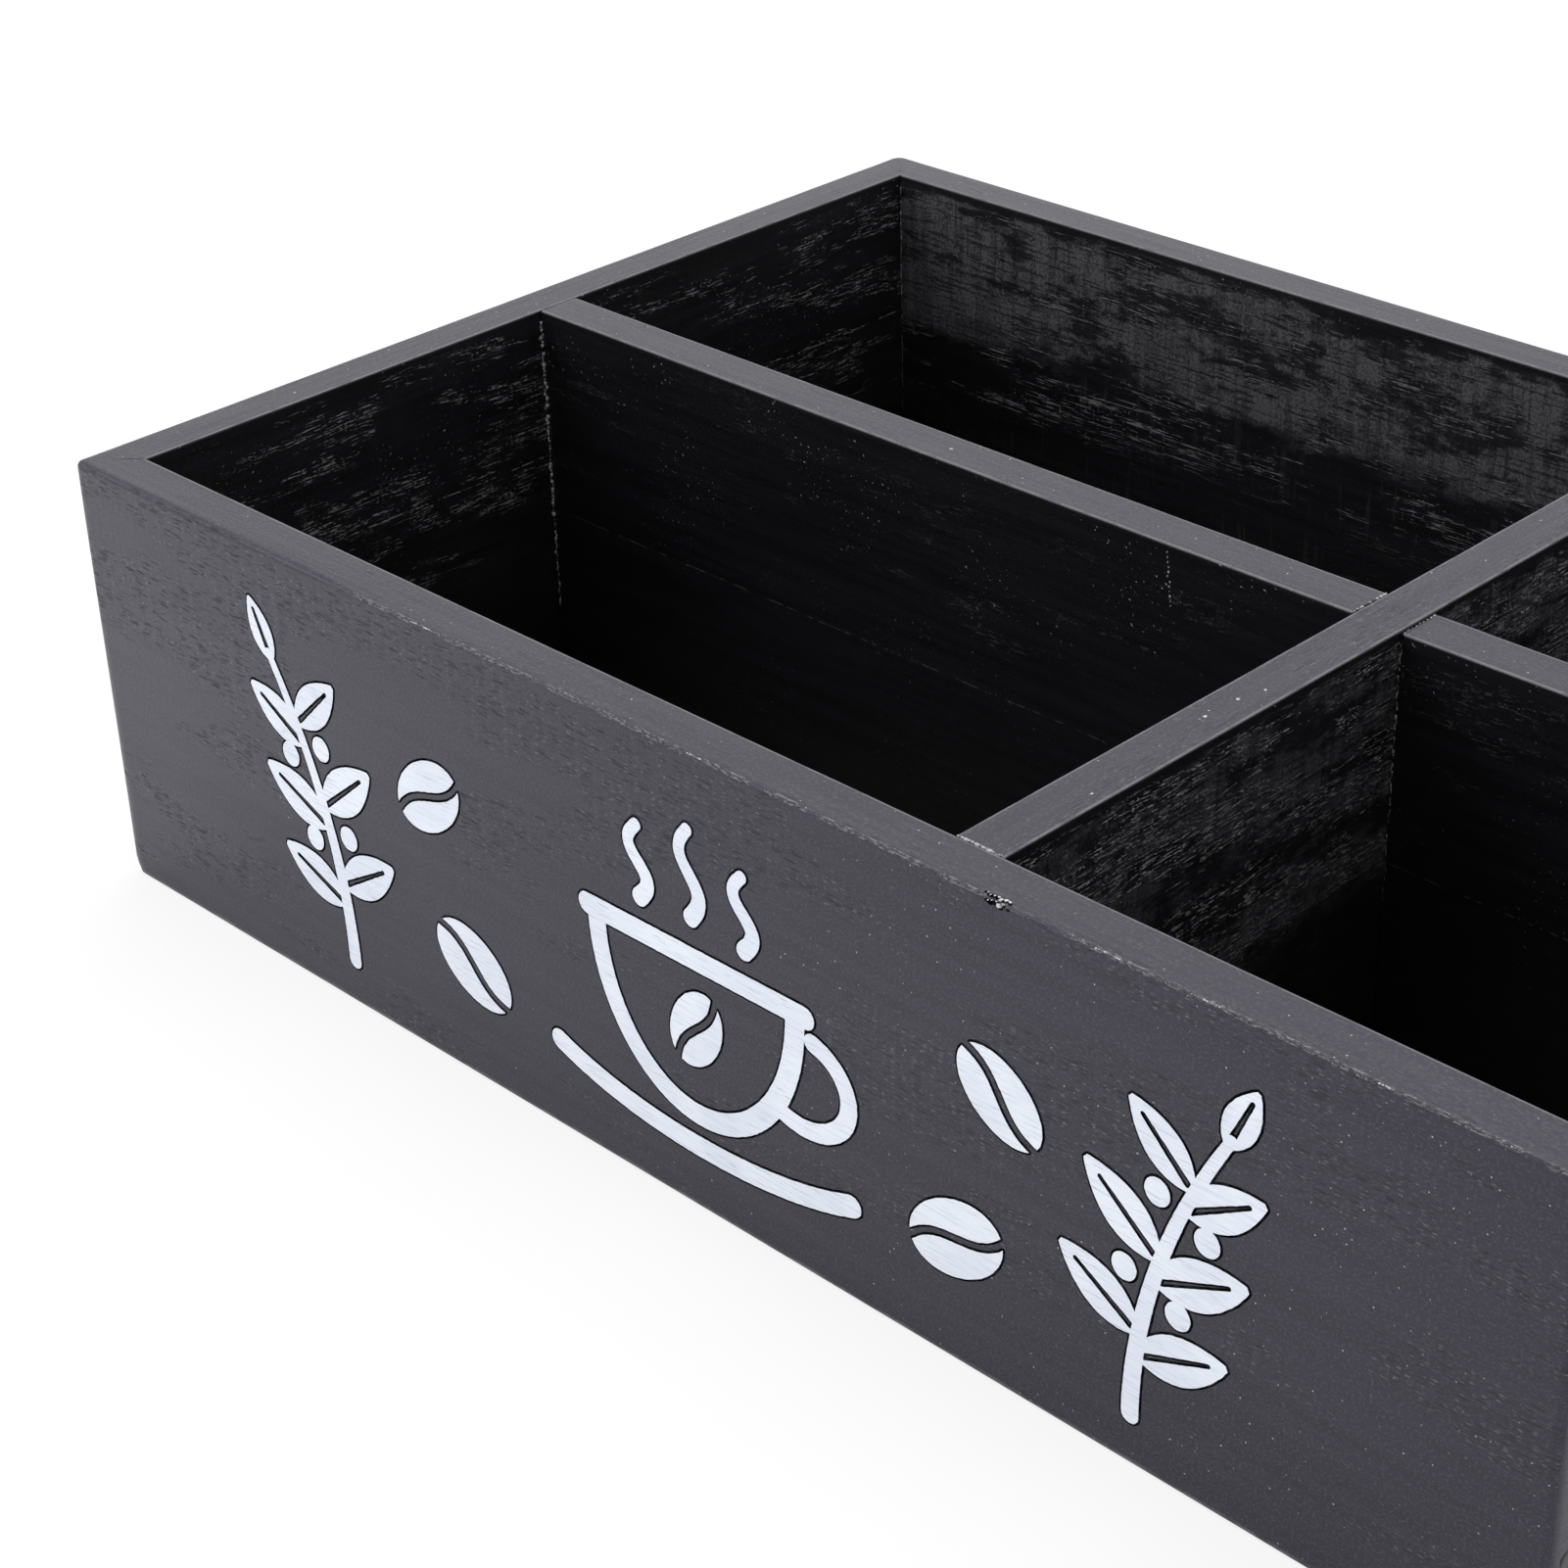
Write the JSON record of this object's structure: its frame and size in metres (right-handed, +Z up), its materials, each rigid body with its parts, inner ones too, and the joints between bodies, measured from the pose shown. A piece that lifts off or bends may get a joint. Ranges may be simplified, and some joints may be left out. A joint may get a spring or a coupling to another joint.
{
  "type": "coffee station organizer",
  "caption": "Open-top wooden countertop organizer box with mitred walls and crossing dividers that make compartments for pods, cups and sachets.",
  "frame": {"origin": "middle of the face that the box rests on", "axes": "+X to the right along the front, +Y to the back, +Z up"},
  "size_m": [0.3, 0.204, 0.081],
  "materials": {
    "stained_wood": "satin black stain with open grain",
    "base_board": "dull black stain on thin plywood",
    "brad_steel": "bright drawn wire",
    "white_paint": "thin matt white paint, slightly scratched",
    "dried_glue": "clear glossy bead, lightly stained"
  },
  "bodies": {
    "root": {"front_panel": "stained_wood", "back_panel": "stained_wood", "left_panel": "stained_wood", "right_panel": "stained_wood", "base_panel": "base_board", "long_divider": "stained_wood", "left_divider": "stained_wood", "right_divider": "stained_wood", "corner_brads": "brad_steel", "long_divider_brads": "brad_steel", "cross_divider_brads": "brad_steel", "base_brads": "brad_steel"}
  },
  "joints": []
}
